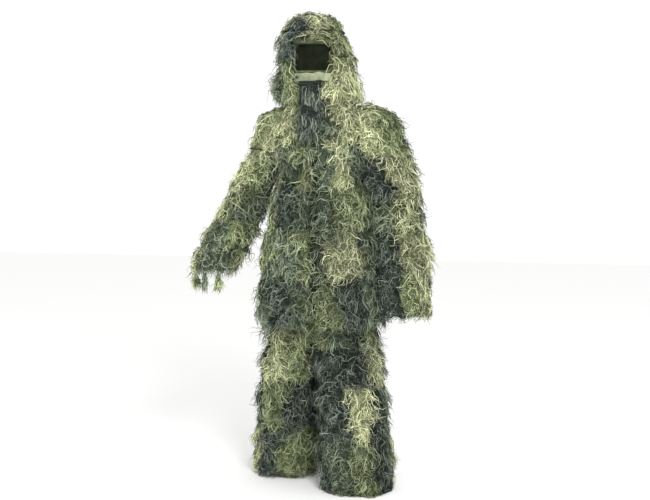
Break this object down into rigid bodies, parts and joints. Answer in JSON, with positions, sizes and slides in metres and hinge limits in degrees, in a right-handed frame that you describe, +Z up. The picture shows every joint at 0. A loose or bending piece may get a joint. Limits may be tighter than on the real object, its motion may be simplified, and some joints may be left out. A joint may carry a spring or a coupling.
{
  "type": "ghillie suit",
  "caption": "Worn two-piece camouflage suit: hooded zip jacket with a screened eye opening and wide trousers, all covered in hanging rows of shredded yarn.",
  "frame": {"origin": "base of the neck, midway between the high shoulder points where the jacket hangs on its wearer", "axes": "+Z up, -Y towards the wearer's front, +X towards the wearer's left"},
  "size_m": [0.9376, 0.471, 1.803],
  "materials": {
    "netting_cloth": "matt olive netting cloth",
    "yarn": "matt shredded yarn, from straw to slate green",
    "bare_cloth": "matt pale olive woven cloth",
    "face_screen": "near-black see-through mesh",
    "elastic": "ribbed dark elastic",
    "zip_tape": "dark olive tape with moulded teeth",
    "dark_metal": "dark painted zinc"
  },
  "bodies": {
    "jacket": {"jacket_back": "netting_cloth", "jacket_front_left": "netting_cloth", "jacket_front_right": "netting_cloth", "jacket_fringe_row_1": "yarn", "jacket_fringe_row_2": "yarn", "jacket_fringe_row_3": "yarn", "jacket_fringe_row_4": "yarn", "jacket_fringe_row_5": "yarn", "collar": "netting_cloth", "zipper_tape_left": "zip_tape", "zipper_tape_right": "zip_tape", "trouser_waistband": "netting_cloth", "waist_elastic": "elastic", "trouser_seat": "netting_cloth", "crotch_gusset": "netting_cloth"},
    "zip_slider": {"zipper_slider": "dark_metal"},
    "zip_pull": {"zipper_pull": "dark_metal"},
    "hood": {"hood_shell": "netting_cloth", "face_opening_binding": "bare_cloth", "eye_screen": "face_screen", "hood_crown_fringe": "yarn", "hood_fringe_row_1": "yarn", "hood_fringe_row_2": "yarn", "chin_snap_stud": "dark_metal"},
    "chin_flap": {"chin_flap": "bare_cloth", "chin_fringe": "yarn", "chin_snap_cap": "dark_metal"},
    "left_upper_sleeve": {"left_upper_sleeve": "netting_cloth", "left_elbow_cloth": "netting_cloth", "left_sleeve_fringe_row_1": "yarn", "left_sleeve_fringe_row_2": "yarn"},
    "left_forearm": {"left_forearm_sleeve": "netting_cloth", "left_cuff_elastic": "elastic", "left_sleeve_fringe_row_3": "yarn", "left_sleeve_fringe_row_4": "yarn"},
    "left_thigh": {"left_thigh": "netting_cloth", "left_knee_cloth": "netting_cloth", "left_thigh_fringe_row": "yarn", "left_knee_fringe_row": "yarn"},
    "left_shin": {"left_shin": "netting_cloth", "left_shin_fringe_row_1": "yarn", "left_shin_fringe_row_2": "yarn"},
    "right_upper_sleeve": {"right_upper_sleeve": "netting_cloth", "right_elbow_cloth": "netting_cloth", "right_sleeve_fringe_row_1": "yarn", "right_sleeve_fringe_row_2": "yarn"},
    "right_forearm": {"right_forearm_sleeve": "netting_cloth", "right_cuff_elastic": "elastic", "right_sleeve_fringe_row_3": "yarn", "right_sleeve_fringe_row_4": "yarn", "right_cuff_tassel_1": "yarn", "right_cuff_tassel_2": "yarn", "right_cuff_tassel_3": "yarn"},
    "right_thigh": {"right_thigh": "netting_cloth", "right_knee_cloth": "netting_cloth", "right_thigh_fringe_row": "yarn", "right_knee_fringe_row": "yarn"},
    "right_shin": {"right_shin": "netting_cloth", "right_shin_fringe_row_1": "yarn", "right_shin_fringe_row_2": "yarn"}
  },
  "joints": [
    {"name": "hood_fold", "type": "hinge", "parent": "jacket", "child": "hood", "pos_m": [-0.014, 0.084, 0.012], "axis": [-1, 0, 0], "range_deg": [0, 85]},
    {"name": "chin_flap_hinge", "type": "hinge", "parent": "hood", "child": "chin_flap", "pos_m": [0.0603, -0.148, 0.067], "axis": [0, 0, 1], "range_deg": [0, 80]},
    {"name": "zip_slide", "type": "slide", "parent": "jacket", "child": "zip_slider", "axis": [0, -0.0322, -0.9995], "range_m": [0, 0.67]},
    {"name": "zip_pull_pivot", "type": "hinge", "parent": "zip_slider", "child": "zip_pull", "pos_m": [0, -0.15562, -0.11278], "axis": [-1, 0, 0], "range_deg": [0, 90]},
    {"name": "left_shoulder_swing", "type": "hinge", "parent": "jacket", "child": "left_upper_sleeve", "pos_m": [0.188, -0.012, -0.128], "axis": [-1, 0, 0], "range_deg": [-20, 60]},
    {"name": "left_elbow_bend", "type": "hinge", "parent": "left_upper_sleeve", "child": "left_forearm", "pos_m": [0.3, -0.028, -0.45], "axis": [-1, 0, 0], "range_deg": [0, 60], "deforming": ["left_elbow_cloth"]},
    {"name": "right_shoulder_swing", "type": "hinge", "parent": "jacket", "child": "right_upper_sleeve", "pos_m": [-0.172, -0.012, -0.128], "axis": [-1, 0, 0], "range_deg": [-20, 60]},
    {"name": "right_elbow_bend", "type": "hinge", "parent": "right_upper_sleeve", "child": "right_forearm", "pos_m": [-0.304, -0.03, -0.41], "axis": [-1, 0, 0], "range_deg": [0, 60], "deforming": ["right_elbow_cloth"]},
    {"name": "left_hip_swing", "type": "hinge", "parent": "jacket", "child": "left_thigh", "pos_m": [0.0928, -0.006, -0.62], "axis": [-1, 0, 0], "range_deg": [-8, 8]},
    {"name": "left_knee_bend", "type": "hinge", "parent": "left_thigh", "child": "left_shin", "pos_m": [0.124, -0.05, -1.02], "axis": [1, 0, 0], "range_deg": [0, 50], "deforming": ["left_knee_cloth", "left_knee_fringe_row"]},
    {"name": "right_hip_swing", "type": "hinge", "parent": "jacket", "child": "right_thigh", "pos_m": [-0.0928, -0.006, -0.62], "axis": [-1, 0, 0], "range_deg": [-8, 8]},
    {"name": "right_knee_bend", "type": "hinge", "parent": "right_thigh", "child": "right_shin", "pos_m": [-0.124, 0.02, -1.02], "axis": [1, 0, 0], "range_deg": [0, 50], "deforming": ["right_knee_cloth", "right_knee_fringe_row"]}
  ]
}
